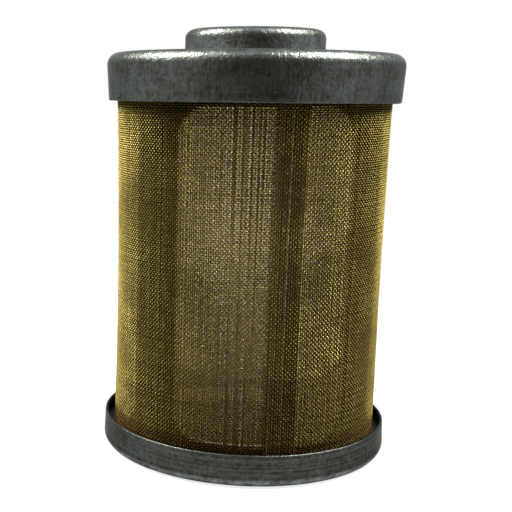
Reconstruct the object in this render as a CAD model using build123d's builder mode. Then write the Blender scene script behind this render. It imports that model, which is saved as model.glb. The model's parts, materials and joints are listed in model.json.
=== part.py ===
"""Fuel filter element: a brass wire cloth sleeve on a slotted steel tube, between two drawn caps.

Millimetres, +Z up. The origin is the centre of the underside. Polar angles run from +X towards +Y,
and the side at -90 degrees is the front.
"""

from build123d import *
import os
from math import cos, radians, sin, tan

# Caps, drawn from zinc-plated steel sheet
cap_sheet = 0.6
total_height = 83.7
boss_height = 4.6
boss_radius = 13.7
boss_edge_radius = 1.8
boss_foot_radius = 0.6
outlet_radius = 8.5
skirt_depth = 9.2
skirt_clearance = 1.2
skirt_taper = 3.3
shoulder_radius = 2.3
cup_depth = 6.5
cup_clearance = 1.5
cup_taper = 2.7
cup_corner_radius = 1.8

# Wire cloth sleeve, rolled, with its ends lapped down the front
sleeve_radius = 26.8
sleeve_wall = 0.4
sleeve_lap_arc = 11.7
sleeve_lap_angle = -74.1
ridge_width = 0.5
ridge_height = 0.15
ring_height = 0.1
gap_columns = 22
gap_rows = 5
gap_width = 3.1
gap_height = 10.0
ridges_per_gap = 2

# Support tube, rolled from punched sheet, with its ends lapped on the inside
tube_sheet = 0.5
tube_clearance = 0.1
strut_arc = 21.7
tube_lap_arc = 10.0
tube_lap_angle = 50.3
window_count = 4
window_bottom = 7.5
window_top = 69.2
window_corner_radius = 5.0

# Adhesive that holds the sleeve and the tube in both caps
bond_film = 0.8
top_bond_depth = 5.0
bottom_bond_depth = 3.0
bead_width = 1.4
bead_depth = 2.4

# Rubber ring in the boss
seal_bore_radius = 7.0
seal_chamfer = 0.4

# Heights that follow
top_face = total_height - boss_height
top_inside = top_face - cap_sheet
skirt_edge = top_face - skirt_depth
top_bond_edge = top_inside - top_bond_depth
bottom_bond_edge = cap_sheet + bottom_bond_depth
body_bottom = cap_sheet + bond_film
body_top = top_inside - bond_film
body_height = body_top - body_bottom
window_height = window_top - window_bottom
window_middle = (window_top + window_bottom) / 2

# Radii that follow
skirt_mouth_radius = sleeve_radius + skirt_clearance + cap_sheet
cup_mouth_radius = sleeve_radius + cup_clearance + cap_sheet
sleeve_bore = sleeve_radius - sleeve_wall
tube_radius = sleeve_bore - tube_clearance
tube_bore = tube_radius - tube_sheet
bead_bore = tube_bore - bead_width
seal_radius = boss_radius - cap_sheet

# The struts between the windows share the tube with its narrow lapped strut
window_arc = (360 - (window_count - 1) * strut_arc - tube_lap_arc) / window_count
window_width = 2 * tube_radius * sin(radians(window_arc / 2))
first_window = tube_lap_angle + (tube_lap_arc + window_arc) / 2
window_angles = [first_window + i * (window_arc + strut_arc) for i in range(window_count)]

# Each column of gaps stands midway between two upright ridges, and each row between two rings
ridge_count = gap_columns * ridges_per_gap
first_ridge = 180 / ridge_count
gap_angles = [i * 360 / gap_columns for i in range(gap_columns)]
gap_spacing = window_height / gap_rows
ring_levels = [window_bottom + i * gap_spacing for i in range(1, gap_rows)]


def skirt_outside(height):
    """Outer radius of the top cap's skirt, which leans in towards its mouth."""
    return skirt_mouth_radius + (height - skirt_edge) * tan(radians(skirt_taper))


def skirt_inside(height):
    """Inner radius of the same skirt."""
    return skirt_outside(height) - cap_sheet / cos(radians(skirt_taper))


def cup_outside(height):
    """Outer radius of the bottom cap's wall, which leans in towards its lip."""
    return cup_mouth_radius + (cup_depth - height) * tan(radians(cup_taper))


def cup_inside(height):
    """Inner radius of the same wall."""
    return cup_outside(height) - cap_sheet / cos(radians(cup_taper))


def wedge(angle, arc):
    """Corners of a triangle from the axis that spans an arc and reaches past the caps."""
    reach = 2 * skirt_mouth_radius
    sides = [radians(angle - arc / 2), radians(angle + arc / 2)]
    return [(0, 0)] + [(reach * cos(side), reach * sin(side)) for side in sides]


def facing(angle, distance):
    """Upright plane that faces out at an angle, at a distance from the axis, at window height."""
    return Plane(
        origin=Vector(distance, 0, window_middle).rotate(Axis.Z, angle),
        x_dir=Vector(0, 1, 0).rotate(Axis.Z, angle),
        z_dir=Vector(1, 0, 0).rotate(Axis.Z, angle),
    )


# Top cap: one drawn sheet, with the outlet in its boss
with BuildPart() as top_cap:
    with BuildSketch(Plane.XZ):
        with BuildLine():
            FilletPolyline(
                (outlet_radius, total_height),
                (boss_radius, total_height),
                (boss_radius, top_face),
                (skirt_outside(top_face), top_face),
                (skirt_mouth_radius, skirt_edge),
                radius=[boss_edge_radius, boss_foot_radius, shoulder_radius],
            )
            offset(amount=cap_sheet, side=Side.RIGHT, closed=True)
        make_face()
    revolve(axis=Axis.Z)
top_cap.part.label = "top_cap"

# Bottom cap: a shallow drawn cup with a closed floor
with BuildPart() as bottom_cap:
    with BuildSketch(Plane.XZ):
        with BuildLine():
            FilletPolyline(
                (0, 0),
                (cup_outside(0), 0),
                (cup_mouth_radius, cup_depth),
                radius=cup_corner_radius,
            )
            offset(amount=cap_sheet, side=Side.LEFT, closed=True)
        make_face()
    revolve(axis=Axis.Z)
bottom_cap.part.label = "bottom_cap"

# Second layer of the tube's sheet, where its ends lap on the inside
with BuildPart() as tube_lap:
    with BuildSketch(Plane.XY.offset(body_bottom)):
        Circle(tube_bore)
        Circle(tube_bore - tube_sheet, mode=Mode.SUBTRACT)
        Polygon(*wedge(tube_lap_angle, tube_lap_arc), align=None, mode=Mode.INTERSECT)
    extrude(amount=body_height)

# Support tube: tall windows between wide struts, and a narrow strut where the sheet laps
with BuildPart() as support_tube:
    with BuildSketch(Plane.XY.offset(body_bottom)):
        Circle(tube_radius)
        Circle(tube_bore, mode=Mode.SUBTRACT)
    extrude(amount=body_height)
    add(tube_lap.part)
    with BuildSketch(*[facing(angle, tube_bore / 2) for angle in window_angles]):
        RectangleRounded(window_width, window_height, window_corner_radius)
    extrude(amount=tube_radius, mode=Mode.SUBTRACT)
support_tube.part.label = "support_tube"

# Second layer of the wire cloth, where its ends lap on the outside
with BuildPart() as sleeve_lap:
    with BuildSketch(Plane.XY.offset(body_bottom)):
        Circle(sleeve_radius + sleeve_wall)
        Circle(sleeve_radius, mode=Mode.SUBTRACT)
        Polygon(*wedge(sleeve_lap_angle, sleeve_lap_arc), align=None, mode=Mode.INTERSECT)
    extrude(amount=body_height)

# Mesh sleeve: a thin wall with plain ends, crossed ridges and rows of gaps between them
with BuildPart() as mesh_sleeve:
    with BuildSketch(Plane.XY.offset(body_bottom)):
        Circle(sleeve_radius)
        Circle(sleeve_bore, mode=Mode.SUBTRACT)
    extrude(amount=body_height)
    with BuildSketch(Plane.XY.offset(bottom_bond_edge)):
        Circle(sleeve_radius)
        with PolarLocations(sleeve_radius, ridge_count, start_angle=first_ridge):
            Rectangle(2 * ridge_height, ridge_width)
        Circle(sleeve_bore, mode=Mode.SUBTRACT)
    extrude(amount=top_bond_edge - bottom_bond_edge)
    with BuildSketch(Plane.XZ):
        with Locations([(sleeve_radius, level) for level in ring_levels]):
            Rectangle(2 * ring_height, ridge_width)
    revolve(axis=Axis.Z)
    add(sleeve_lap.part)
    with BuildSketch(*[facing(angle, sleeve_bore - sleeve_wall) for angle in gap_angles]):
        with GridLocations(0, gap_spacing, 1, gap_rows):
            Rectangle(gap_width, gap_height)
    extrude(amount=4 * sleeve_wall, mode=Mode.SUBTRACT)
mesh_sleeve.part.label = "mesh_sleeve"

# Top bond: a ring with a groove for the sleeve and the tube, shaped by the inside of the cap
with BuildPart() as top_bond:
    with BuildSketch(Plane.XZ):
        with BuildLine():
            FilletPolyline(
                (bead_bore, top_inside),
                (skirt_inside(top_inside), top_inside),
                (skirt_inside(top_bond_edge), top_bond_edge),
                radius=shoulder_radius - cap_sheet,
            )
            Polyline(
                (skirt_inside(top_bond_edge), top_bond_edge),
                (sleeve_radius, top_bond_edge),
                (sleeve_radius, body_top),
                (tube_bore, body_top),
                (tube_bore, top_inside - bead_depth),
                (bead_bore, top_inside - bead_depth),
                (bead_bore, top_inside),
            )
        make_face()
    revolve(axis=Axis.Z)
    add([tube_lap.part, sleeve_lap.part], mode=Mode.SUBTRACT)
top_bond.part.label = "top_bond"

# Bottom bond: the same ring in the cup, lower than the cup's lip
with BuildPart() as bottom_bond:
    with BuildSketch(Plane.XZ):
        with BuildLine():
            FilletPolyline(
                (bead_bore, cap_sheet),
                (cup_inside(cap_sheet), cap_sheet),
                (cup_inside(bottom_bond_edge), bottom_bond_edge),
                radius=cup_corner_radius - cap_sheet,
            )
            Polyline(
                (cup_inside(bottom_bond_edge), bottom_bond_edge),
                (sleeve_radius, bottom_bond_edge),
                (sleeve_radius, body_bottom),
                (tube_bore, body_bottom),
                (tube_bore, cap_sheet + bead_depth),
                (bead_bore, cap_sheet + bead_depth),
                (bead_bore, cap_sheet),
            )
        make_face()
    revolve(axis=Axis.Z)
    add([tube_lap.part, sleeve_lap.part], mode=Mode.SUBTRACT)
bottom_bond.part.label = "bottom_bond"

# Seal ring: fills the boss from below, with a chamfered bore for the outlet stub
with BuildPart() as seal_ring:
    with BuildSketch(Plane.XY.offset(top_inside)):
        Circle(seal_radius)
        Circle(seal_bore_radius, mode=Mode.SUBTRACT)
    extrude(amount=boss_height)
    rims = seal_ring.edges().filter_by(GeomType.CIRCLE).sort_by(SortBy.RADIUS)
    chamfer(rims[-2:].sort_by(Axis.Z)[-1], boss_edge_radius - cap_sheet)
    chamfer(rims[:2], seal_chamfer)
seal_ring.part.label = "seal_ring"

os.makedirs("parts", exist_ok=True)
export_step(top_cap.part, "parts/top_cap.step")
export_step(bottom_cap.part, "parts/bottom_cap.step")
export_step(support_tube.part, "parts/support_tube.step")
export_step(mesh_sleeve.part, "parts/mesh_sleeve.step")
export_step(top_bond.part, "parts/top_bond.step")
export_step(bottom_bond.part, "parts/bottom_bond.step")
export_step(seal_ring.part, "parts/seal_ring.step")
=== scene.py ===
"""Fuel filter element: the looks of a wire cloth strainer between two zinc-plated caps.

Everything is in metres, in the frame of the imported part: +Z up along the element's axis, the
origin at the centre of the underside, and the front at -Y. Angles run from +X towards +Y.
"""

import json
from math import pi, radians

import bpy
import numpy as np
from bpy.props import FloatProperty, FloatVectorProperty, IntProperty, PointerProperty
from bpy.types import Operator, Panel, PropertyGroup
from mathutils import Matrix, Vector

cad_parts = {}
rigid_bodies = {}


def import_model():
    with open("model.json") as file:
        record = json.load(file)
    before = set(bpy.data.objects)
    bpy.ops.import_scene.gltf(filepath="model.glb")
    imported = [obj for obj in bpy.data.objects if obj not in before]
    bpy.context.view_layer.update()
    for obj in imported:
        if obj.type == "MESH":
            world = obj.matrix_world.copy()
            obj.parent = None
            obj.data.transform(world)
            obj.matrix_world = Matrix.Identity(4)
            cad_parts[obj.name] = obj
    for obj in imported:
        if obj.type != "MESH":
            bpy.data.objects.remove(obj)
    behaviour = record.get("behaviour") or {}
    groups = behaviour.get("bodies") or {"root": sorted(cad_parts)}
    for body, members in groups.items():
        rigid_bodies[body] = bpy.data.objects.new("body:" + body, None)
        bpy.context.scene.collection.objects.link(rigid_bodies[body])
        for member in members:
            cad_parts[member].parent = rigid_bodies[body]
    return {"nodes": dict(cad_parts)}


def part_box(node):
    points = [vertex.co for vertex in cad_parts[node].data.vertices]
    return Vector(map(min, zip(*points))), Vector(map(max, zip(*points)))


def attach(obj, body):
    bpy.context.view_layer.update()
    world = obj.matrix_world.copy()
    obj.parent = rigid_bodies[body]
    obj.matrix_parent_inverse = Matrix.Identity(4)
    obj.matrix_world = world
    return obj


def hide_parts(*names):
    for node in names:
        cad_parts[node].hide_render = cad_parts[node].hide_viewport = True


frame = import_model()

bl_info = {
    "name": "Fuel filter element",
    "version": (1, 0, 0),
    "blender": (4, 5, 0),
    "location": "3D View > Sidebar > Filter",
    "description": "Builds the surfaces and finishes of a wire cloth filter element",
    "category": "Object",
}

TOP_CAP_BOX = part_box("top_cap")
BOTTOM_CAP_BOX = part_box("bottom_cap")
BOTTOM_BOND_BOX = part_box("bottom_bond")
SEAL_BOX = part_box("seal_ring")

WINDOW_COUNT = 4  # in the tube, with wide struts between them and one narrow lapped strut
LIP_DEPTH = 0.001  # how far from its edge a cap's lip is uneven
PARTS = "abc"  # objects that share the wires of one direction, to keep each one small


def length(name, description, default):
    """A size in metres that a user may change."""
    return FloatProperty(
        name=name, description=description, default=default, precision=5, unit="LENGTH"
    )


def colour(name, description, default):
    """A linear colour that a user may change."""
    return FloatVectorProperty(
        name=name, description=description, default=default, min=0, max=1, subtype="COLOR"
    )


class FilterSizes(PropertyGroup):
    """Sizes of the element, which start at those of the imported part."""

    cap_sheet: length("Cap sheet", "Thickness of the caps' steel sheet", 0.0006)
    boss_radius: length("Boss radius", "Outer radius of the raised boss", 0.0137)
    boss_height: length("Boss height", "Height of the boss over the cap's face", 0.0046)
    boss_edge: length("Boss edge", "Radius of the boss's rounded top edge", 0.0018)
    boss_foot: length("Boss foot", "Radius where the boss meets the face", 0.0006)
    outlet_radius: length("Outlet radius", "Radius of the hole in the boss", 0.0085)
    shoulder: length("Shoulder", "Radius of the top cap's rounded shoulder", 0.0023)
    skirt_mouth: length("Skirt mouth", "Outer radius of the skirt at its edge", 0.0286)
    cup_mouth: length("Cup mouth", "Outer radius of the bottom cap at its lip", 0.0289)
    cup_corner: length("Cup corner", "Radius of the bottom cap's lower corner", 0.0018)
    burr: length("Burr", "Height of the sheared lips' unevenness", 0.00007)
    wire: length("Wire", "Diameter of the cloth's wires", 0.00032)
    wire_count: IntProperty(
        name="Wires around",
        description="Upright wires in one turn of cloth",
        default=398,
        min=3,
    )
    lap_wires: IntProperty(
        name="Wires in the lap",
        description="Upright wires that the cloth's ends share",
        default=13,
    )
    lap_angle: FloatProperty(
        name="Lap angle",
        description="Where the cloth's lap starts",
        default=radians(-80.0),
        subtype="ANGLE",
    )
    unevenness: FloatProperty(
        name="Unevenness",
        description="Spread of the wires' places, in wire spacings",
        default=0.13,
    )
    skew: FloatProperty(
        name="Skew",
        description="Rise of the round wires for each spacing along them",
        default=0.006,
    )
    cloth_radius: length("Cloth radius", "Radius of the middle of the cloth", 0.02664)
    cloth_sink: length("Cloth sink", "How far the cloth dips into a window", 0.0005)
    strut_arc: FloatProperty(
        name="Strut arc",
        description="Angle that a wide strut covers",
        default=radians(21.7),
        subtype="ANGLE",
    )
    tube_lap_arc: FloatProperty(
        name="Tube lap arc",
        description="Angle that the tube's lapped strut covers",
        default=radians(10.0),
        subtype="ANGLE",
    )
    tube_lap_angle: FloatProperty(
        name="Tube lap angle",
        description="Middle of the tube's lapped strut",
        default=radians(50.3),
        subtype="ANGLE",
    )
    window_bottom: length("Window bottom", "Height of the windows' lower edges", 0.0075)
    window_top: length("Window top", "Height of the windows' upper edges", 0.0692)
    window_corner: length("Window corner", "Radius of the windows' corners", 0.005)
    # Painted shade: the cloth over the front window is darkened up to this height.
    stain_and_shade: length("Stain", "Height of the stain at the front window's foot", 0.0205)
    window_rim: length("Window rim", "Width over which the cloth darkens at its edge", 0.0005)
    seal_bore: length("Seal bore", "Radius of the rubber ring's bore", 0.007)
    seal_chamfer: length("Seal chamfer", "Rounding of the rubber ring's bore", 0.0004)


class FilterColours(PropertyGroup):
    """Colours of the element's finishes."""

    zinc: colour("Zinc", "Clean zinc plating", (0.100, 0.114, 0.112))
    zinc_dark: colour("Dull zinc", "Stained and handled zinc plating", (0.031, 0.029, 0.024))
    tube_steel: colour("Tube steel", "Plated steel of the inner tube", (0.020, 0.017, 0.012))
    nick: colour("Nick", "Steel that shows in a nick", (0.05, 0.045, 0.04))
    brass: colour("Brass", "Clean wire of the cloth", (0.61, 0.505, 0.152))
    # Also the colour of the cloth's painted shade over steel.
    brass_dark: colour("Tarnished brass", "Tarnished wire of the cloth", (0.034, 0.023, 0.004))
    # Also darkens the bottom cap's floor, as fuel stain and painted shade.
    adhesive: colour("Adhesive", "Cured adhesive", (0.05, 0.025, 0.008))
    rubber: colour("Rubber", "Rubber of the seal ring", (0.007, 0.007, 0.007))
    floor: colour("Floor", "Pale floor", (0.8, 0.8, 0.8))
    card: colour("Dark card", "Middle of the card behind the camera", (0.02, 0.018, 0.014))
    card_edge: colour("Card edge", "Sides of the card behind the camera", (0.6, 0.6, 0.6))


class FilterStage(PropertyGroup):
    """Camera and lamps."""

    camera_distance: length("Camera distance", "Distance from the axis", 0.20218)
    camera_height: length("Camera height", "Height over the floor", 0.07177)
    camera_turn: FloatVectorProperty(
        name="Camera turn",
        description="The camera's turn about X, Y and Z",
        default=(radians(77.676), radians(-0.579), radians(7.056)),
        subtype="EULER",
    )
    lens: FloatProperty(name="Lens", description="Focal length", default=69.56, unit="CAMERA")
    shift: FloatVectorProperty(
        name="Shift",
        description="The lens's shift, in picture widths",
        size=2,
        default=(0.25, 0.1),
    )
    sky: FloatProperty(name="Sky", description="Strength of the even light", default=0.35, min=0)
    key_power: FloatProperty(
        name="Key power", description="Power of each overhead lamp", default=7.0, unit="POWER"
    )
    key_colour: colour("Key colour", "Colour of both overhead lamps", (1.0, 0.96, 0.87))
    inner_power: FloatProperty(
        name="Inner power", description="Power of the lamp in the tube", default=0.5, unit="POWER"
    )
    inner_colour: colour("Inner colour", "Colour of the lamp in the tube", (0.95, 1.0, 1.0))
    floor_radius: length("Floor radius", "Radius of the round floor", 0.16)


# Shapes


def rounded(corners, radii, step=0.00012):
    """Points of a line through the corners, each inner one rounded by an arc of its radius.

    An arc touches both runs at a distance of radius times the tangent of half the turn from
    their corner. Arcs are divided into steps, and runs into pieces of six steps.
    """
    least_points, run_step = 6, 6 * step
    corners = np.array(corners, float)
    pieces = [corners[:1]]
    for before, corner, after, radius in zip(corners, corners[1:], corners[2:], radii):
        come, go = corner - before, after - corner
        come, go = come / np.linalg.norm(come), go / np.linalg.norm(go)
        turn = np.arctan2(come[0] * go[1] - come[1] * go[0], come @ go)
        reach = radius * np.tan(abs(turn) / 2)
        side = np.array([-come[1], come[0]]) * np.sign(turn)
        centre = corner - come * reach + side * radius
        angles = turn * np.linspace(0, 1, max(least_points, int(radius * abs(turn) / step)))
        swing = np.stack(
            [
                -side[0] * np.cos(angles) + side[1] * np.sin(angles),
                -side[0] * np.sin(angles) - side[1] * np.cos(angles),
            ],
            axis=1,
        )
        pieces.append(centre + radius * swing)
    pieces.append(corners[-1:])
    line = [pieces[0]]
    for run in pieces[1:]:
        start = line[-1][-1]
        count = max(1, int(np.linalg.norm(run[0] - start) / run_step))
        between = np.linspace(0, 1, count + 1)[1:-1, None]
        line += [start + between * (run[0] - start), run]
    return np.concatenate(line)


def normals_of(line):
    """Unit normals of a line in its plane, a quarter turn to the left of its direction."""
    along = np.gradient(line, axis=0)
    along /= np.linalg.norm(along, axis=1, keepdims=True)
    return np.stack([-along[:, 1], along[:, 0]], axis=1)


def sheet_section(line, sheet, closed_ends=(True, True)):
    """Section of a sheet: the line, its copy one sheet to the left, and half-round ends.

    An end is the half circle middle + sheet / 2 * (cos a along + sin a across), for a from
    minus to plus a quarter turn.
    """
    points = 9
    across = normals_of(line)
    inner = line + across * sheet
    turn = np.linspace(-pi / 2, pi / 2, points)[1:-1, None]

    def end(point, side, way):
        along = np.array([side[1], -side[0]]) * way
        middle = point + side * sheet / 2
        return middle + sheet / 2 * (np.cos(turn) * along + np.sin(turn) * side)

    parts = [line]
    if closed_ends[1]:
        parts.append(end(line[-1], across[-1], 1))
    parts.append(inner[::-1])
    if closed_ends[0]:
        parts.append(end(line[0], across[0], -1)[::-1])
    return np.concatenate(parts)


def waves(angle, counts, seed):
    """Sum of sines of the angle, with whole counts, random phases and a height of about one."""
    random = np.random.default_rng(seed)
    phases = random.uniform(0, 2 * pi, len(counts))
    total = sum(np.sin(n * angle + p) / n**0.5 for n, p in zip(counts, phases))
    return total / sum(1 / n for n in counts) ** 0.5


def mesh_object(name, vertices, faces, uvs):
    """A smooth object of equal-sided faces, at the origin, with one UV pair for each corner."""
    mesh = bpy.data.meshes.new(name)
    corners = np.concatenate([f.reshape(-1) for f in faces])
    sizes = np.concatenate([np.full(len(f), f.shape[1]) for f in faces])
    mesh.vertices.add(len(vertices))
    mesh.vertices.foreach_set("co", vertices.astype(np.float32).reshape(-1))
    mesh.loops.add(len(corners))
    mesh.loops.foreach_set("vertex_index", corners.astype(np.int32))
    mesh.polygons.add(len(sizes))
    mesh.polygons.foreach_set("loop_start", (np.cumsum(sizes) - sizes).astype(np.int32))
    mesh.polygons.foreach_set("use_smooth", np.ones(len(sizes), bool))
    layer = mesh.uv_layers.new(name="UVMap")
    layer.data.foreach_set("uv", np.concatenate(uvs).astype(np.float32).reshape(-1))
    mesh.update(calc_edges=True)
    if mesh.validate():
        raise RuntimeError(f"{name}: the mesh had faces that Blender took out")
    thing = bpy.data.objects.new(name, mesh)
    bpy.context.collection.objects.link(thing)
    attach(thing, "root")
    return thing


def lathe(name, section, turns=216, rise=None):
    """A closed section (radius, height) turned round the Z axis.

    A point is (r cos a, r sin a, z), for a round the whole turn, and rise(z, a) is added to z.
    The section runs so that the solid is on its left, and may start and end on the axis.
    """
    poles = section[0, 0] == 0
    angles = np.linspace(0, 2 * pi, turns, endpoint=False)
    r = np.repeat(section[:, :1], turns, axis=1)
    z = np.repeat(section[:, 1:], turns, axis=1)
    a = np.repeat(angles[None, :], len(section), axis=0)
    if rise is not None:
        z = z + rise(z, a)
    points = np.stack([r * np.cos(a), r * np.sin(a), z], axis=2)
    along = np.cumsum(np.linalg.norm(np.diff(section, axis=0, prepend=section[:1]), axis=1))
    around = np.linspace(0, 2 * pi, turns + 1) * section[:, 0].max()
    rows = len(section)
    i = np.arange(rows - 1 if poles else rows)
    i, j = np.meshgrid(i, np.arange(turns), indexing="ij")
    i, j = i.reshape(-1), j.reshape(-1)
    below, beside = (i + 1) % rows, (j + 1) % turns
    grid = np.arange(rows * turns).reshape(rows, turns)
    quads = np.stack([grid[i, j], grid[i, beside], grid[below, beside], grid[below, j]], axis=1)
    seam = along[-1] + np.linalg.norm(section[0] - section[-1])
    ends = np.where(i + 1 < rows, along[below], seam)
    uv = np.stack(
        [
            np.stack([around[j], along[i]], axis=1),
            np.stack([around[j + 1], along[i]], axis=1),
            np.stack([around[j + 1], ends], axis=1),
            np.stack([around[j], ends], axis=1),
        ],
        axis=1,
    )
    if not poles:
        return mesh_object(name, points.reshape(-1, 3), [quads], [uv.reshape(-1, 2)])
    first, last = i == 0, i == rows - 2
    inner = ~(first | last)
    start, stop = grid[0, 0], grid[-1, 0]
    fan_start = np.stack([np.full(turns, start), quads[first][:, 2], quads[first][:, 3]], axis=1)
    fan_stop = np.stack([quads[last][:, 0], quads[last][:, 1], np.full(turns, stop)], axis=1)
    faces = [quads[inner], fan_start, fan_stop]
    uvs = [uv[inner], uv[first][:, [0, 2, 3]], uv[last][:, [0, 1, 2]]]
    flat = points.reshape(-1, 3)
    used = np.unique(np.concatenate([f.reshape(-1) for f in faces]))
    place = np.zeros(len(flat), int)
    place[used] = np.arange(len(used))
    faces = [place[f] for f in faces]
    return mesh_object(name, flat[used], faces, [u.reshape(-1, 2) for u in uvs])


def tubes(name, centres, out, across, radius, height, window):
    """Three-sided tubes round many lines at once, given as [line, point, xyz].

    A corner is centre + radius * (cos b out + sin b across), for b = 0, 120 and 240 degrees,
    and a triangle closes each end.

    height is how far each point stands out from the middle of the cloth. The attribute of that
    name holds it for every corner, and crimp for the wire's middle, as shares of the most. The
    attribute window holds the share of a window behind each point, less the painted shade at the
    front window's foot.
    """
    lines, points, _ = centres.shape
    b = np.radians([0, 120, 240])[None, None, :, None]
    ring = centres[:, :, None] + radius * (
        np.cos(b) * out[:, :, None] + np.sin(b) * across[:, :, None]
    )
    number = np.arange(lines * points * 3).reshape(lines, points, 3)
    here, ahead = number[:, :-1], number[:, 1:]
    quads = np.stack(
        [here, np.roll(here, -1, axis=2), np.roll(ahead, -1, axis=2), ahead], axis=3
    ).reshape(-1, 4)
    v = np.repeat(np.arange(here.shape[1])[None, :, None], lines, axis=0).repeat(3, axis=2)
    u = np.broadcast_to(np.arange(3), v.shape)
    uv = np.stack(
        [
            np.stack([u, v], axis=3),
            np.stack([u + 1, v], axis=3),
            np.stack([u + 1, v + 1], axis=3),
            np.stack([u, v + 1], axis=3),
        ],
        axis=3,
    ).reshape(-1, 2)
    start, stop = number[:, 0, ::-1], number[:, -1]
    uvs = [uv * radius * 2, np.zeros((start.size, 2)), np.zeros((stop.size, 2))]
    thing = mesh_object(name, ring.reshape(-1, 3), [quads, start, stop], uvs)
    corner = height[:, :, None] + radius * np.cos(b[..., 0])
    share = (corner / (np.abs(height).max() + radius)).reshape(-1)
    crimp = np.repeat(height / np.abs(height).max(), 3, axis=1)
    window = np.repeat(window, 3, axis=1)
    for label, values in (("height", share), ("crimp", crimp), ("window", window)):
        layer = thing.data.attributes.new(label, "FLOAT", "POINT")
        layer.data.foreach_set("value", values.reshape(-1).astype(np.float32))
    return thing


# Finishes


def times(share, tone):
    """A linear colour made darker or lighter by a share."""
    return tuple(share * c for c in tone)


class Finish:
    """A node material, with short calls for the nodes it needs."""

    def __init__(self, name):
        self.material = bpy.data.materials.new(name)
        self.material.use_nodes = True
        self.tree = self.material.node_tree
        self.shader = self.tree.nodes["Principled BSDF"]
        self.places = self.tree.nodes.new("ShaderNodeTexCoord")
        self.objects = self.places.outputs["Object"]

    def set(self, **values):
        """Sets the shader's own sockets, such as Roughness=0.4."""
        for name, value in values.items():
            self.shader.inputs[name.replace("_", " ")].default_value = value

    def link(self, source, socket):
        """Joins an output to one of the shader's sockets."""
        self.tree.links.new(source, self.shader.inputs[socket])

    def stretched(self, coordinates, scale):
        """Object or UV coordinates times a scale for each axis."""
        node = self.tree.nodes.new("ShaderNodeMapping")
        node.inputs["Scale"].default_value = scale
        self.tree.links.new(self.places.outputs[coordinates], node.inputs["Vector"])
        return node.outputs["Vector"]

    def attribute(self, name):
        """The value of a mesh attribute."""
        node = self.tree.nodes.new("ShaderNodeAttribute")
        node.attribute_name = name
        return node.outputs["Fac"]

    def place(self, axis):
        """The point's X, Y or Z."""
        node = self.tree.nodes.new("ShaderNodeSeparateXYZ")
        self.tree.links.new(self.objects, node.inputs["Vector"])
        return node.outputs[axis]

    def radius(self):
        """The distance of the point from the Z axis."""
        node = self.tree.nodes.new("ShaderNodeVectorMath")
        node.operation = "LENGTH"
        self.tree.links.new(self.stretched("Object", (1, 1, 0)), node.inputs[0])
        return node.outputs["Value"]

    def noise(self, vector, scale=1.0, detail=3.0, roughness=0.55):
        """Cloudy noise between 0 and 1."""
        node = self.tree.nodes.new("ShaderNodeTexNoise")
        node.inputs["Scale"].default_value = scale
        node.inputs["Detail"].default_value = detail
        node.inputs["Roughness"].default_value = roughness
        self.tree.links.new(vector, node.inputs["Vector"])
        return node.outputs["Fac"]

    def spots(self, vector, scale, size):
        """Small round spots: 1 within half of size of a cell's centre, 0 beyond size."""
        node = self.tree.nodes.new("ShaderNodeTexVoronoi")
        node.inputs["Scale"].default_value = scale
        self.tree.links.new(vector, node.inputs["Vector"])
        return self.ranged(node.outputs["Distance"], size, size / 2)

    def ranged(self, value, from_low, from_high, to_low=0, to_high=1):
        """The value, clamped and moved from one range to another."""
        node = self.tree.nodes.new("ShaderNodeMapRange")
        for name, number in zip(
            ("From Min", "From Max", "To Min", "To Max"), (from_low, from_high, to_low, to_high)
        ):
            node.inputs[name].default_value = number
        self.tree.links.new(value, node.inputs["Value"])
        return node.outputs["Result"]

    def maths(self, kind, first, second):
        """A Math node of two values, each an output or a number."""
        node = self.tree.nodes.new("ShaderNodeMath")
        node.operation = kind
        for socket, value in zip(node.inputs, (first, second)):
            if isinstance(value, bpy.types.NodeSocket):
                self.tree.links.new(value, socket)
            else:
                socket.default_value = value
        return node.outputs["Value"]

    def summed(self, *terms):
        """The sum of outputs, each times its weight."""
        total = self.maths("MULTIPLY", *terms[0])
        for term in terms[1:]:
            total = self.maths("ADD", total, self.maths("MULTIPLY", *term))
        return total

    def mixed(self, factor, first, second):
        """Two colours mixed by a factor; each is an output or a linear colour."""
        node = self.tree.nodes.new("ShaderNodeMix")
        node.data_type = "RGBA"
        self.tree.links.new(factor, node.inputs["Factor"])
        colour_a, colour_b, result = node.inputs[6], node.inputs[7], node.outputs[2]
        for socket, value in ((colour_a, first), (colour_b, second)):
            if isinstance(value, bpy.types.NodeSocket):
                self.tree.links.new(value, socket)
            else:
                socket.default_value = (*value, 1)
        return result

    def bump(self, height, distance, under=None):
        """Tilts the surface as a height would that is distance metres where it is 1."""
        node = self.tree.nodes.new("ShaderNodeBump")
        node.inputs["Distance"].default_value = distance
        self.tree.links.new(height, node.inputs["Height"])
        if under is not None:
            self.tree.links.new(under, node.inputs["Normal"])
        return node.outputs["Normal"]


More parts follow.
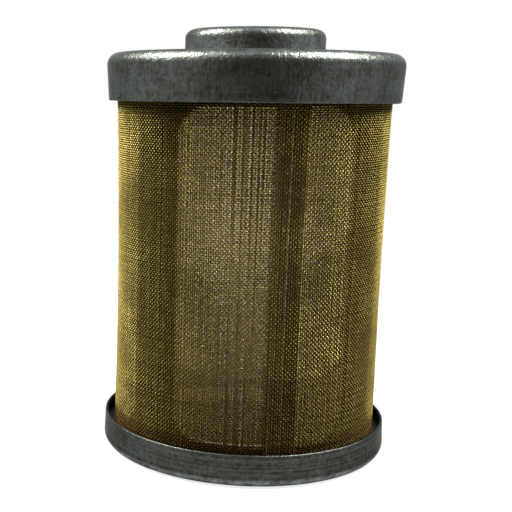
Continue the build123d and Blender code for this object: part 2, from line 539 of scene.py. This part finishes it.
def zinc_finish(name, shade, bands, streaks, bright_height, plain_height, gain):
    """Dull zinc plating: mottling, stains, drawing bands round the cap and streaks down it.

    shade below 1 darkens the plating outside the brighter patches, as painted shade. Past one
    given height, fading out by a second, it is brighter in patches, smoother and as bright as
    gain
    times clean zinc: wear, with a painted highlight on the top cap's shoulder and boss and a
    painted reflection of the floor on the bottom cap's lower corner. The floor inside the bottom
    cap is near black: darkened by fuel, and painted shade inside the element.
    """
    colours = bpy.context.scene.filter_colours
    floor_low, floor_high, floor_radius, fade = 0.0003, 0.0009, 0.0245, 0.0001
    f = Finish(name)
    mottle = f.noise(f.objects, scale=1400, detail=4, roughness=0.6)
    stain_and_shade = f.noise(f.objects, scale=260, detail=5, roughness=0.65)
    band = f.noise(f.stretched("UV", (9, 1400, 1)))
    streak = f.noise(f.stretched("UV", (2600, 260, 1)), detail=2)
    terms = ((band, bands), (streak, streaks), (mottle, 0.55), (stain_and_shade, 0.5))
    wear = f.summed(*terms)
    middle = sum(weight for _, weight in terms) / 2
    clean = f.ranged(wear, middle - 0.16, middle + 0.2)
    # shade below 1 darkens the plating as painted shade.
    base = f.mixed(clean, times(shade, colours.zinc_dark), times(shade, colours.zinc))
    # Wear, a painted highlight on the shoulder and a painted floor reflection at the lower
    # corner.
    cloud = f.noise(f.objects, scale=420, detail=4, roughness=0.7)
    patches = f.ranged(cloud, 0.4, 0.62, 0.15, 1)
    brightened = f.maths("MULTIPLY", f.ranged(f.place("Z"), bright_height, plain_height, 1, 0), patches)
    base = f.mixed(brightened, base, times(gain, colours.zinc))
    # Near black floor inside the bottom cap: fuel stain and painted shade.
    inside = f.ranged(f.radius(), floor_radius - fade, floor_radius + fade, 1, 0)
    above = f.ranged(f.place("Z"), floor_low - fade, floor_low + fade)
    below = f.ranged(f.place("Z"), floor_high - fade, floor_high + fade, 1, 0)
    fuel_stain_and_shade = f.maths("MULTIPLY", f.maths("MULTIPLY", inside, above), below)
    base = f.mixed(fuel_stain_and_shade, base, times(0.06, colours.adhesive))
    f.link(f.mixed(f.spots(f.objects, 160, 0.055), base, colours.nick), "Base Color")
    rough = f.ranged(wear, middle - 0.3, middle + 0.3, 0.40, 0.25)
    rough = f.maths("MULTIPLY", rough, f.ranged(brightened, 0, 1, 1, 0.7))
    f.link(f.maths("MAXIMUM", rough, fuel_stain_and_shade), "Roughness")
    f.link(f.bump(wear, 0.0001, under=f.bump(mottle, 0.00009)), "Normal")
    f.set(Metallic=0.9, Specular_Tint=(0.4, 0.41, 0.4, 1))
    return f.material


def brass_finish(name, painted_brightness):
    """Brass wire with patches of brown tarnish, adhesive at its foot and clean, rubbed knuckles.

    It is painted darker where no window lies behind it, and most of all between the knuckles:
    painted shade for the steel seen through the cloth. The round wires' finish has darker clean
    brass, as painted shade. The crimp tilts the surface as it would the round flank of a
    bent wire.
    """
    colours = bpy.context.scene.filter_colours
    sizes = bpy.context.scene.filter_sizes
    foot, fade = 0.005, 0.0006
    f = Finish(name)
    patch = f.noise(f.objects, scale=90, detail=4, roughness=0.6)
    grain = f.noise(f.objects, scale=1300, detail=2)
    clean = f.ranged(f.summed((patch, 0.7), (grain, 0.5)), 0.42, 0.78, 0.2, 1)
    brightened = f.ranged(f.maths("ABSOLUTE", f.attribute("height"), 0), 0.4, 0.95)
    clean = f.maths("MULTIPLY", clean, brightened)
    # The clean brass is scaled down for the round wires as painted shade.
    base = f.mixed(clean, colours.brass_dark, times(painted_brightness, colours.brass))
    # Painted shade: darker brass where no window lies behind, least on the knuckles.
    behind = f.ranged(f.attribute("window"), 0, 1, 0.72, 0)
    behind = f.maths("MULTIPLY", behind, f.ranged(brightened, 0, 1, 1, 0.65))
    base = f.mixed(behind, base, colours.brass_dark)
    stain_and_shade = f.summed((f.place("Z"), 1), (f.noise(f.objects, scale=240), -0.006))
    stain_and_shade = f.ranged(stain_and_shade, foot - fade, foot + fade, 0.75, 0)
    f.link(f.mixed(stain_and_shade, base, colours.adhesive), "Base Color")
    f.link(f.ranged(clean, 0, 1, 0.55, 0.36), "Roughness")
    f.link(f.bump(f.attribute("crimp"), sizes.wire / 2), "Normal")
    f.set(Metallic=0.75, Specular_Tint=(0.6, 0.5, 0.25, 1))
    return f.material


def tube_finish(name):
    """Rolled steel sheet, dull, with faint rolling lines up its length."""
    colours = bpy.context.scene.filter_colours
    f = Finish(name)
    lines = f.noise(f.stretched("Object", (900, 900, 25)))
    stain_and_shade = f.noise(f.objects, scale=120)
    wear = f.summed((lines, 0.6), (stain_and_shade, 0.6))
    clean = f.ranged(wear, 0.35, 0.85)
    base = f.mixed(clean, times(0.6, colours.tube_steel), colours.tube_steel)
    f.link(base, "Base Color")
    f.link(f.ranged(wear, 0.3, 0.9, 0.75, 0.6), "Roughness")
    f.link(f.bump(lines, 0.00002), "Normal")
    f.set(Metallic=0.9)
    return f.material


def adhesive_finish(name):
    """Cured brown adhesive: glossy, lumpy and darker in places."""
    colours = bpy.context.scene.filter_colours
    f = Finish(name)
    lumps = f.noise(f.objects, scale=500, detail=4)
    tint = f.ranged(f.noise(f.objects, scale=150), 0.35, 0.7)
    base = f.mixed(tint, colours.adhesive, times(1.4, colours.adhesive))
    f.link(base, "Base Color")
    f.link(f.ranged(lumps, 0.3, 0.7, 0.5, 0.7), "Roughness")
    f.link(f.bump(lumps, 0.0002), "Normal")
    return f.material


def rubber_finish(name):
    """Matt black rubber with a fine grain and a little bloom."""
    colours = bpy.context.scene.filter_colours
    f = Finish(name)
    grain = f.noise(f.objects, scale=2500, detail=2)
    bloom = f.noise(f.objects, scale=250)
    base = f.mixed(f.ranged(bloom, 0.45, 0.8), colours.rubber, times(2.5, colours.rubber))
    f.link(base, "Base Color")
    f.link(f.ranged(bloom, 0.3, 0.8, 0.8, 0.95), "Roughness")
    f.link(f.bump(grain, 0.00003), "Normal")
    f.set(Specular_IOR_Level=0.12)
    return f.material


def dressed(thing, material):
    """Gives an object one material."""
    thing.data.materials.clear()
    thing.data.materials.append(material)
    return thing


# Operators, one for each piece or group of pieces


class FILTER_OT_top_cap(Operator):
    """Draws the top cap with its boss, shoulder, skirt and uneven lip"""

    bl_idname = "filter.top_cap"
    bl_label = "Top Cap"

    def execute(self, context):
        s = context.scene.filter_sizes
        top, edge = TOP_CAP_BOX[1].z, TOP_CAP_BOX[0].z
        face, widest = top - s.boss_height, TOP_CAP_BOX[1].x
        lean = (widest - s.skirt_mouth) / (face - s.shoulder - edge)
        line = rounded(
            [
                (s.skirt_mouth, edge + s.cap_sheet / 2),
                (s.skirt_mouth + lean * (face - edge), face),
                (s.boss_radius, face),
                (s.boss_radius, top),
                (s.outlet_radius, top),
            ],
            [s.shoulder, s.boss_foot, s.boss_edge],
        )
        section = sheet_section(line, s.cap_sheet)

        def burr(z, a):
            """The lip rises and falls with the angle, less so the farther from its edge."""
            near = np.clip(1 - (z - edge) / LIP_DEPTH, 0, 1)
            wave = waves(a, (3, 7, 19, 41, 67), seed=3)
            return s.burr * near * np.clip(0.5 + 0.5 * wave, 0, 1)

        cap = lathe("top_cap_drawn", section, rise=burr)
        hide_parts("top_cap")
        finish = zinc_finish(
            "zinc_top",
            shade=1.0,
            bands=0.2,
            streaks=0.4,
            # Painted highlight and wear on the shoulder and boss.
            bright_height=face - 0.001,
            plain_height=face - 0.0022,
            gain=1.3,
        )
        dressed(cap, finish)
        return {"FINISHED"}


class FILTER_OT_bottom_cap(Operator):
    """Draws the bottom cap with its floor, lower corner and burred lip"""

    bl_idname = "filter.bottom_cap"
    bl_label = "Bottom Cap"

    def execute(self, context):
        s = context.scene.filter_sizes
        lip, widest = BOTTOM_CAP_BOX[1].z, BOTTOM_CAP_BOX[1].x
        lean = (widest - s.cup_mouth) / (lip - s.cup_corner)
        line = rounded(
            [(0, 0), (s.cup_mouth + lean * lip, 0), (s.cup_mouth, lip - s.cap_sheet / 2)],
            [s.cup_corner],
        )
        section = sheet_section(line, s.cap_sheet, closed_ends=(False, True))
        section[-1, 0] = 0

        def burr(z, a):
            """The lip falls short by the angle, less so the farther from its edge."""
            near = np.clip(1 - (lip - z) / LIP_DEPTH, 0, 1)
            wave = waves(a, (2, 5, 17, 37, 71, 113), seed=5)
            return -s.burr * near * np.clip(0.5 + 0.5 * wave, 0, 1)

        cap = lathe("bottom_cap_drawn", section, rise=burr)
        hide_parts("bottom_cap")
        finish = zinc_finish(
            "zinc_bottom",
            # Painted shade: the bottom cap's plating is darker.
            shade=0.72,
            bands=0.6,
            streaks=0.15,
            # Painted reflection of the floor and wear on the lower corner.
            bright_height=0.0013,
            plain_height=0.0018,
            gain=1.6,
        )
        dressed(cap, finish)
        return {"FINISHED"}


def windows_of(s):
    """The angle that one window covers, and the angle of each one's middle.

    The windows share what three wide struts and the lapped one leave of the whole turn.
    """
    arc = (2 * pi - (WINDOW_COUNT - 1) * s.strut_arc - s.tube_lap_arc) / WINDOW_COUNT
    first = s.tube_lap_angle + (s.tube_lap_arc + arc) / 2
    return arc, [first + k * (arc + s.strut_arc) for k in range(WINDOW_COUNT)]


def over_windows(angle, height, s):
    """1 where a window lies behind the cloth, 0 over steel and in the painted shade.

    The painted shade at the front window's foot stands for the far window's lower edge, which
    shows through the cloth. A window is a rounded rectangle of arcs: the signed distance to it is
    |max(d, 0)| + min(max(d), 0) - corner, for d how far the point is past its inner rectangle.
    """
    arc, middles = windows_of(s)
    half_width = s.cloth_radius * np.sin(arc / 2) - s.window_corner
    share = 0
    for middle in middles:
        across = s.cloth_radius * np.abs(np.sin(angle - middle))
        across = np.where(np.cos(angle - middle) > 0, across, s.cloth_radius)
        # Painted shade: the front window starts higher, darkening the cloth below.
        faces_front = np.sin(middle) < -0.9
        bottom = s.stain_and_shade if faces_front else s.window_bottom
        half_height = (s.window_top - bottom) / 2 - s.window_corner
        up = np.abs(height - (s.window_top + bottom) / 2)
        past = np.stack([across - half_width, up - half_height])
        away = np.hypot(*np.maximum(past, 0)) + np.minimum(past.max(axis=0), 0)
        share = share + np.clip(0.5 - (away - s.window_corner) / s.window_rim, 0, 1)
    return share


def cloth_middle(angle, height, turn, s):
    """Radius of the middle of the cloth at an angle and a height.

    It is the sleeve's radius, less a dip of sine by sine in each window, plus a smooth step of
    two wires over the first layer in the lap, where turn is how far past one whole turn the
    wire is, plus a ripple of two sines.
    """
    arc, middles = windows_of(s)
    dip = 0
    for middle in middles:
        across = (angle - middle + pi) % (2 * pi) - pi
        dip = dip + np.sin(pi * np.clip(0.5 + across / arc, 0, 1)) ** 1.5
    up = np.clip((height - s.window_bottom) / (s.window_top - s.window_bottom), 0, 1)
    dip = dip * np.sin(pi * up) ** 0.7
    layer, waviness = 2 * s.wire, 0.00003
    step = np.clip(turn / layer + 1, 0, 1)
    ripple = waviness * (np.sin(5 * angle + 90 * height) + np.sin(11 * angle - 160 * height))
    return s.cloth_radius - s.cloth_sink * dip + layer * step * step * (3 - 2 * step) + ripple


class FILTER_OT_wire_cloth(Operator):
    """Weaves the cloth from upright wires and wires round the sleeve, with its lapped ends"""

    bl_idname = "filter.wire_cloth"
    bl_label = "Wire Cloth"

    def execute(self, context):
        s = context.scene.filter_sizes
        pitch = 2 * pi / s.wire_count
        spacing = pitch * s.cloth_radius
        hidden_below, hidden_above = 2, 6
        low = BOTTOM_BOND_BOX[1].z - hidden_below * spacing
        high = TOP_CAP_BOX[0].z + hidden_above * spacing
        uprights = s.wire_count + s.lap_wires
        rounds = int((high - low) / spacing)
        i = np.arange(uprights)[:, None]
        j = np.arange(rounds)[None, :]

        # Each wire is off its place by a random share of a spacing, and wanders in a slow sine
        seed, phases, wander_up, wander_round = 8, 40, 23, 31
        swerve, round_share = 0.5 * s.unevenness, 0.4
        random = np.random.default_rng(seed)
        uneven = s.unevenness * random.standard_normal((uprights, 1))
        wander = swerve * np.sin(j / wander_up + phases * random.random((uprights, 1)))
        angle = s.lap_angle + (i + uneven + wander) * pitch
        uneven = round_share * s.unevenness * random.standard_normal((1, rounds))
        wander = swerve * np.sin(i / wander_round + phases * random.random((1, rounds)))
        skew = s.skew * (i - uprights / 2)
        height = low + (j + uneven + wander + skew) * spacing

        # The wires pass over and under each other, half a wire from the middle of the cloth.
        # A three-sided wire is nearly as wide as a round one if its corners are this far out
        corner = 0.56 * s.wire
        turn = (i - s.wire_count) * spacing + 0 * j
        middle = cloth_middle(angle, height, turn, s)
        window = over_windows(angle, height, s)
        swing = 0.5 * s.wire * np.where((i + j) % 2 == 0, 1, -1)
        out = np.stack([np.cos(angle), np.sin(angle), 0 * angle], axis=2)
        side = np.stack([-np.sin(angle), np.cos(angle), 0 * angle], axis=2)
        up = np.stack([0 * angle, 0 * angle, 1 + 0 * angle], axis=2)
        rise = height[:, :, None] * up
        upright = (middle + swing)[:, :, None] * out + rise
        level = (middle - swing)[:, :, None] * out + rise

        def lay(name, finish, *grids):
            """Makes the wires of one direction, in a few objects, from grids of [wire, point]."""
            for letter, part in zip(PARTS, np.array_split(np.arange(len(grids[0])), len(PARTS))):
                centres, out, across, swing, window = (grid[part] for grid in grids)
                wires = tubes(f"{name}_{letter}", centres, out, across, corner, swing, window)
                dressed(wires, finish)
                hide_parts("mesh_sleeve")

        finish = brass_finish("brass_uprights", 1.0)
        lay("upright_wires", finish, upright, out, side, swing, window)
        level, out, up = (grid.transpose(1, 0, 2) for grid in (level, out, up))
        # Painted shade: the round wires are the same brass at a quarter of its brightness.
        finish = brass_finish("brass_rounds_painted_shade", 0.25)
        lay("round_wires", finish, level, out, -up, -swing.T, window.T)
        return {"FINISHED"}


class FILTER_OT_support_tube(Operator):
    """Gives the support tube its rolled steel finish"""

    bl_idname = "filter.support_tube"
    bl_label = "Support Tube"

    def execute(self, context):
        finish = tube_finish("rolled_steel")
        for slot in frame["nodes"]["support_tube"].material_slots:
            slot.material = finish
        return {"FINISHED"}


class FILTER_OT_bonds(Operator):
    """Gives both rings of adhesive their finish"""

    bl_idname = "filter.bonds"
    bl_label = "Adhesive"

    def execute(self, context):
        finish = adhesive_finish("brown_adhesive")
        for name in ("top_bond", "bottom_bond"):
            for slot in frame["nodes"][name].material_slots:
                slot.material = finish
        return {"FINISHED"}


class FILTER_OT_seal_ring(Operator):
    """Moulds the rubber ring in the boss, with a rounded bore"""

    bl_idname = "filter.seal_ring"
    bl_label = "Seal Ring"

    def execute(self, context):
        s = context.scene.filter_sizes
        low, high, outside = SEAL_BOX[0].z, SEAL_BOX[1].z, SEAL_BOX[1].x
        middle = (low + high) / 2
        section = rounded(
            [
                (outside, middle),
                (outside, high),
                (s.seal_bore, high),
                (s.seal_bore, low),
                (outside, low),
                (outside, middle),
            ],
            [s.boss_edge - s.cap_sheet, s.seal_chamfer, s.seal_chamfer, s.seal_chamfer],
        )[:-1]
        ring = lathe("seal_ring_moulded", section, turns=144)
        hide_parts("seal_ring")
        dressed(ring, rubber_finish("black_rubber"))
        return {"FINISHED"}


def placed(name, data, place=(0, 0, 0)):
    """A new object at a place."""
    thing = bpy.data.objects.new(name, data)
    thing.location = place
    bpy.context.collection.objects.link(thing)
    return thing


def looked_at(tree):
    """1 for rays from the camera, from glossy surfaces and through glass, and 0 for others."""
    path = tree.nodes.new("ShaderNodeLightPath")
    seen = path.outputs["Is Camera Ray"]
    for kind in ("Is Glossy Ray", "Is Transmission Ray"):
        node = tree.nodes.new("ShaderNodeMath")
        node.operation = "MAXIMUM"
        tree.links.new(seen, node.inputs[0])
        tree.links.new(path.outputs[kind], node.inputs[1])
        seen = node.outputs["Value"]
    return seen


def lay_floor(stage, colours):
    """A round floor, which looks nearly white and lights the element as its colour does."""
    glow_share, gap = 0.8, 2e-5
    turn = np.linspace(0, 2 * pi, 96, endpoint=False)
    radius = stage.floor_radius
    rim = np.stack([radius * np.cos(turn), radius * np.sin(turn), 0 * turn - gap], axis=1)
    mesh = bpy.data.meshes.new("floor")
    mesh.from_pydata(rim.tolist(), [], [list(range(len(rim)))])
    placed("floor", mesh)
    pale = Finish("pale_floor")
    pale.set(Base_Color=(*colours.floor, 1), Roughness=0.9, Specular_IOR_Level=0.1)
    links, nodes = pale.tree.links, pale.tree.nodes
    glow = nodes.new("ShaderNodeEmission")
    blend = nodes.new("ShaderNodeMixShader")
    links.new(pale.maths("MULTIPLY", looked_at(pale.tree), glow_share), blend.inputs["Fac"])
    links.new(pale.shader.outputs["BSDF"], blend.inputs[1])
    links.new(glow.outputs["Emission"], blend.inputs[2])
    links.new(blend.outputs["Shader"], nodes["Material Output"].inputs["Surface"])
    mesh.materials.append(pale.material)


def light_world(scene, stage):
    """A white world, which looks white and lights the element with the sky's strength."""
    world = bpy.data.worlds.new("studio")
    world.use_nodes = True
    scene.world = world
    nodes, links = world.node_tree.nodes, world.node_tree.links
    strength = nodes.new("ShaderNodeMapRange")
    strength.inputs["To Min"].default_value = stage.sky
    links.new(looked_at(world.node_tree), strength.inputs["Value"])
    links.new(strength.outputs["Result"], nodes["Background"].inputs["Strength"])
    nodes["Background"].inputs["Color"].default_value = (1, 1, 1, 1)


def stand_card(colours):
    """A card behind the camera, unseen itself, that keeps the element's front dark."""
    half_width, back, low, high = 0.45, -0.32, -0.5, 0.6
    middle, dark_until, pale_from = 0.05, 0.12, 0.45
    corners = [(-half_width, low), (half_width, low), (half_width, high), (-half_width, high)]
    mesh = bpy.data.meshes.new("dark_card")
    mesh.from_pydata([(x, back, z) for x, z in corners], [], [(0, 1, 2, 3)])
    card = placed("dark_card", mesh)
    card.visible_camera = False
    black = Finish("black_card")
    aside = black.maths("ABSOLUTE", black.maths("SUBTRACT", black.place("X"), middle), 0)
    edge = black.ranged(aside, dark_until, pale_from)
    black.link(black.mixed(edge, colours.card, colours.card_edge), "Base Color")
    black.set(Roughness=0.9)
    mesh.materials.append(black.material)


def hang_lamps(stage):
    """Two soft lamps overhead, aimed at the element, and a small one in its tube.

    A lamp shines down its own -Z, so it turns about X by the angle from straight down to its
    aim, and about Z by the aim's direction less a quarter turn.
    """
    aimed_at = np.array([0, 0, 0.05])
    for name, place, size in (
        ("lamp_left", (-0.34, -0.02, 0.43), 0.28),
        ("lamp_right", (0.31, -0.01, 0.45), 0.26),
    ):
        lamp = bpy.data.lights.new(name, "AREA")
        lamp.shape = "SQUARE"
        lamp.size = size
        lamp.energy = stage.key_power
        lamp.color = stage.key_colour
        aim = aimed_at - np.array(place)
        down = np.arctan2(np.hypot(aim[0], aim[1]), -aim[2])
        round_z = np.arctan2(aim[1], aim[0]) - pi / 2
        placed(name, lamp, place).rotation_euler = (down, 0, round_z)
    inner = bpy.data.lights.new("lamp_inside", "POINT")
    inner.energy = stage.inner_power
    inner.shadow_soft_size = 0.018
    inner.color = stage.inner_colour
    placed("lamp_inside", inner, (0, 0, 0.036)).visible_camera = False


def set_camera(scene, stage):
    """The camera at the photograph's angle."""
    lens = bpy.data.cameras.new("camera")
    lens.lens = stage.lens
    lens.sensor_width = 36
    lens.shift_x, lens.shift_y = stage.shift
    lens.clip_start = 0.01
    camera = placed("camera", lens, (0, -stage.camera_distance, stage.camera_height))
    camera.rotation_euler = stage.camera_turn
    scene.camera = camera


class FILTER_OT_stage(Operator):
    """Sets up the floor, the world, the dark card, the lamps and the camera"""

    bl_idname = "filter.stage"
    bl_label = "Stage"

    def execute(self, context):
        stage = context.scene.filter_stage
        colours = context.scene.filter_colours
        lay_floor(stage, colours)
        light_world(context.scene, stage)
        stand_card(colours)
        hang_lamps(stage)
        set_camera(context.scene, stage)
        context.scene.view_settings.view_transform = "Standard"
        return {"FINISHED"}


OPERATORS = (
    FILTER_OT_top_cap,
    FILTER_OT_bottom_cap,
    FILTER_OT_wire_cloth,
    FILTER_OT_support_tube,
    FILTER_OT_bonds,
    FILTER_OT_seal_ring,
    FILTER_OT_stage,
)
GROUPS = {
    "filter_sizes": FilterSizes,
    "filter_colours": FilterColours,
    "filter_stage": FilterStage,
}


class FILTER_PT_element(Panel):
    """Lists the element's sizes, colours and pieces"""

    bl_label = "Fuel filter element"
    bl_idname = "FILTER_PT_element"
    bl_space_type = "VIEW_3D"
    bl_region_type = "UI"
    bl_category = "Filter"

    def draw(self, context):
        for name, group in GROUPS.items():
            box = self.layout.box()
            values = getattr(context.scene, name)
            for field in group.__annotations__:
                box.prop(values, field)
        for operator in OPERATORS:
            self.layout.operator(operator.bl_idname)


def register():
    """Adds the classes, and their groups of values to the scene."""
    for cls in (*GROUPS.values(), *OPERATORS, FILTER_PT_element):
        bpy.utils.register_class(cls)
    for name, group in GROUPS.items():
        setattr(bpy.types.Scene, name, PointerProperty(type=group))


def unregister():
    """Takes both away again."""
    for name in GROUPS:
        delattr(bpy.types.Scene, name)
    for cls in reversed((*GROUPS.values(), *OPERATORS, FILTER_PT_element)):
        bpy.utils.unregister_class(cls)


def main():
    """Builds every piece and the stage."""
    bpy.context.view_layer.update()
    register()
    for operator in OPERATORS:
        group, name = operator.bl_idname.split(".")
        getattr(getattr(bpy.ops, group), name)()


if __name__ == "__main__":
    main()
